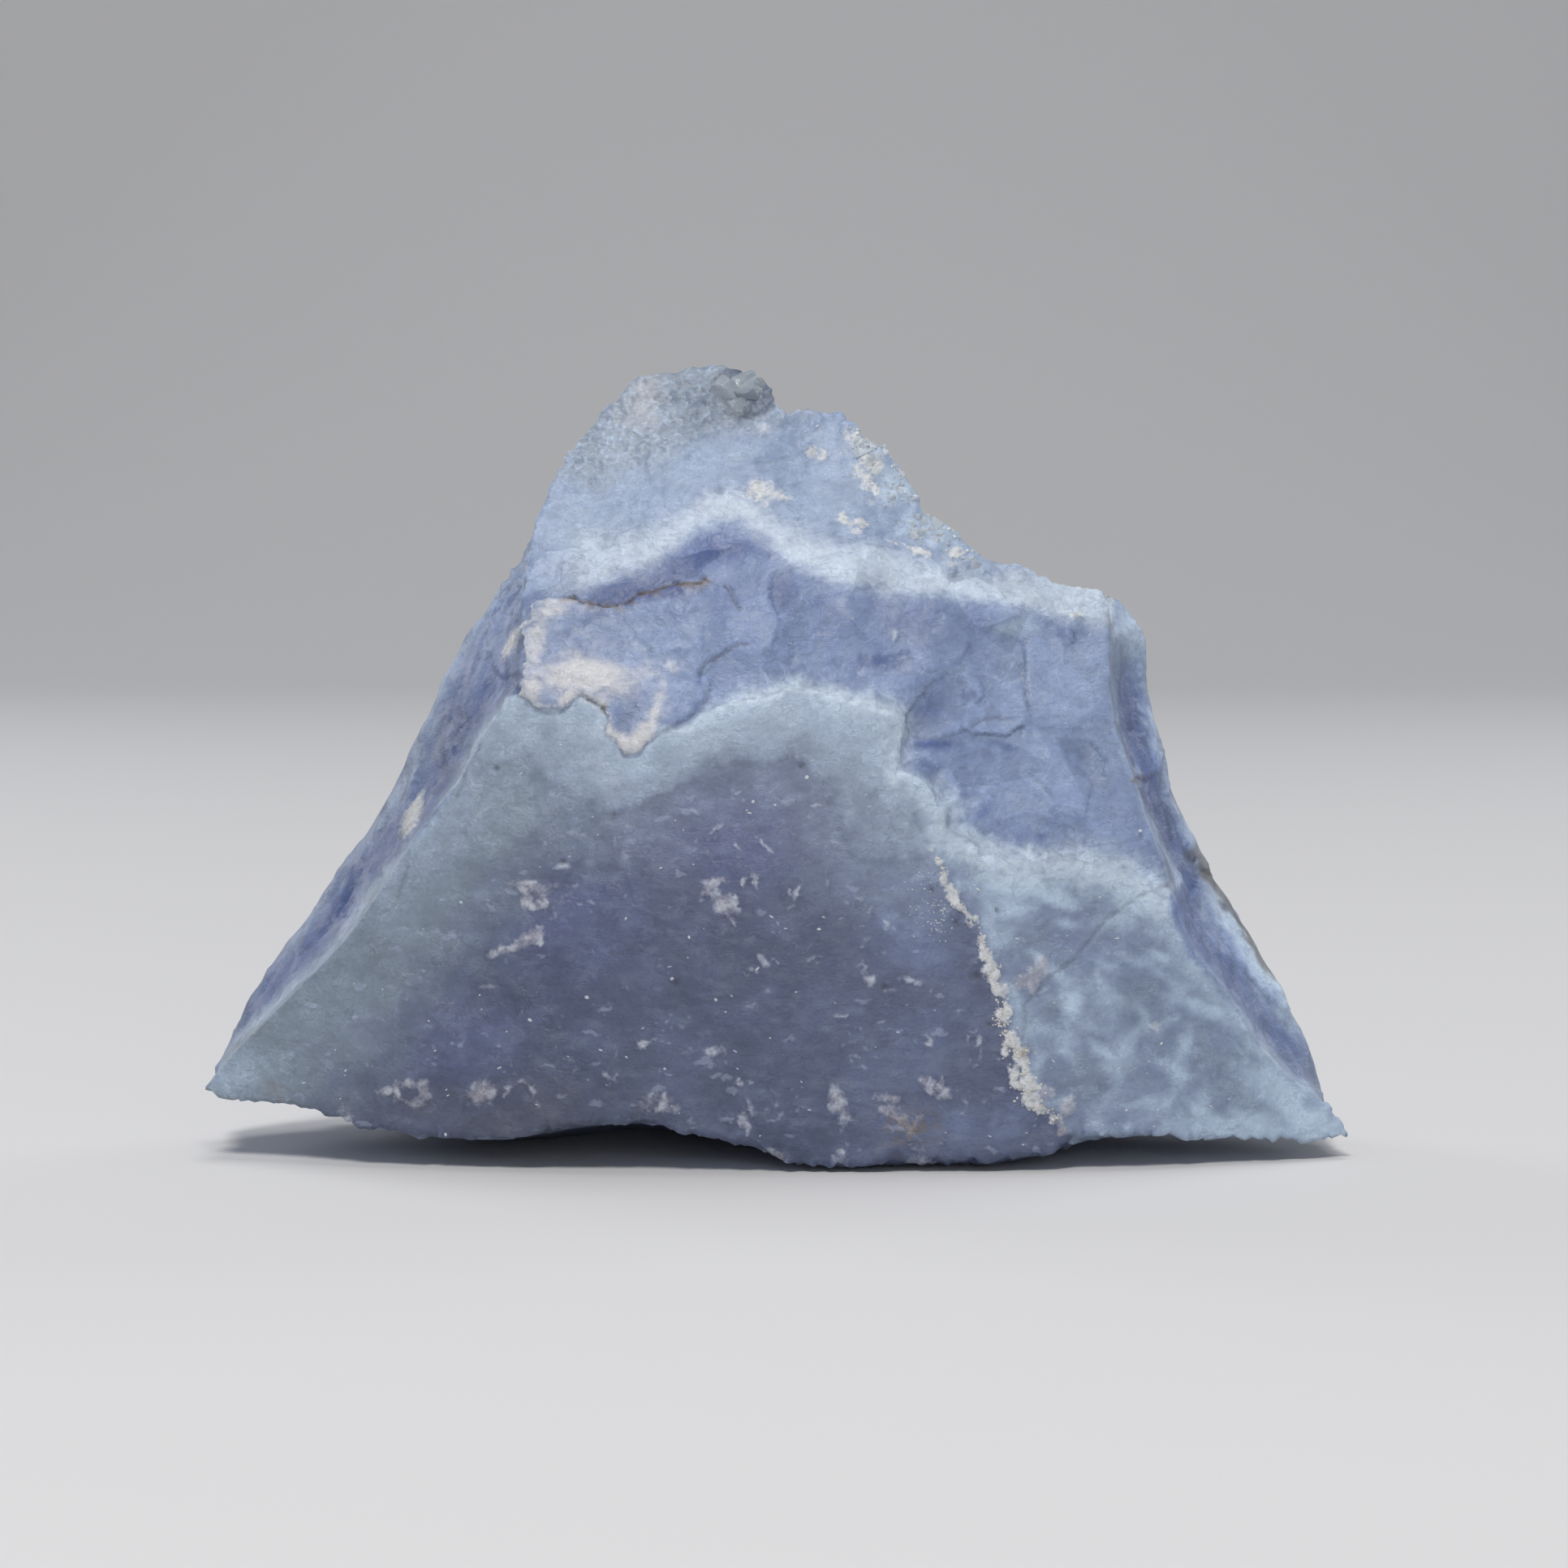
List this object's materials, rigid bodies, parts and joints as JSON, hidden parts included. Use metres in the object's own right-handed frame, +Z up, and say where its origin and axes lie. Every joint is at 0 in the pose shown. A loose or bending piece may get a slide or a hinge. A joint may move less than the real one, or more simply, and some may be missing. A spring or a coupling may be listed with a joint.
{
  "type": "rough piece of blue chalcedony agate",
  "caption": "Broken mountain-shaped piece of translucent blue chalcedony, with a pale band, a cream vein and a crest of small quartz crystals, resting on its flattened underside.",
  "frame": {"origin": "middle of the bounding box's underside, on the surface that the stone rests on", "axes": "+X along the stone's length, to the right as its broad broken front is looked at; +Y from that front to the back; +Z up"},
  "size_m": [0.104, 0.0396, 0.0715],
  "materials": {
    "chalcedony": "waxy translucent blue chalcedony, matt on broken faces, pale along its rims and frosted where the quartz crystals stand"
  },
  "bodies": {
    "root": {"chalcedony_stone": "chalcedony"}
  },
  "joints": []
}
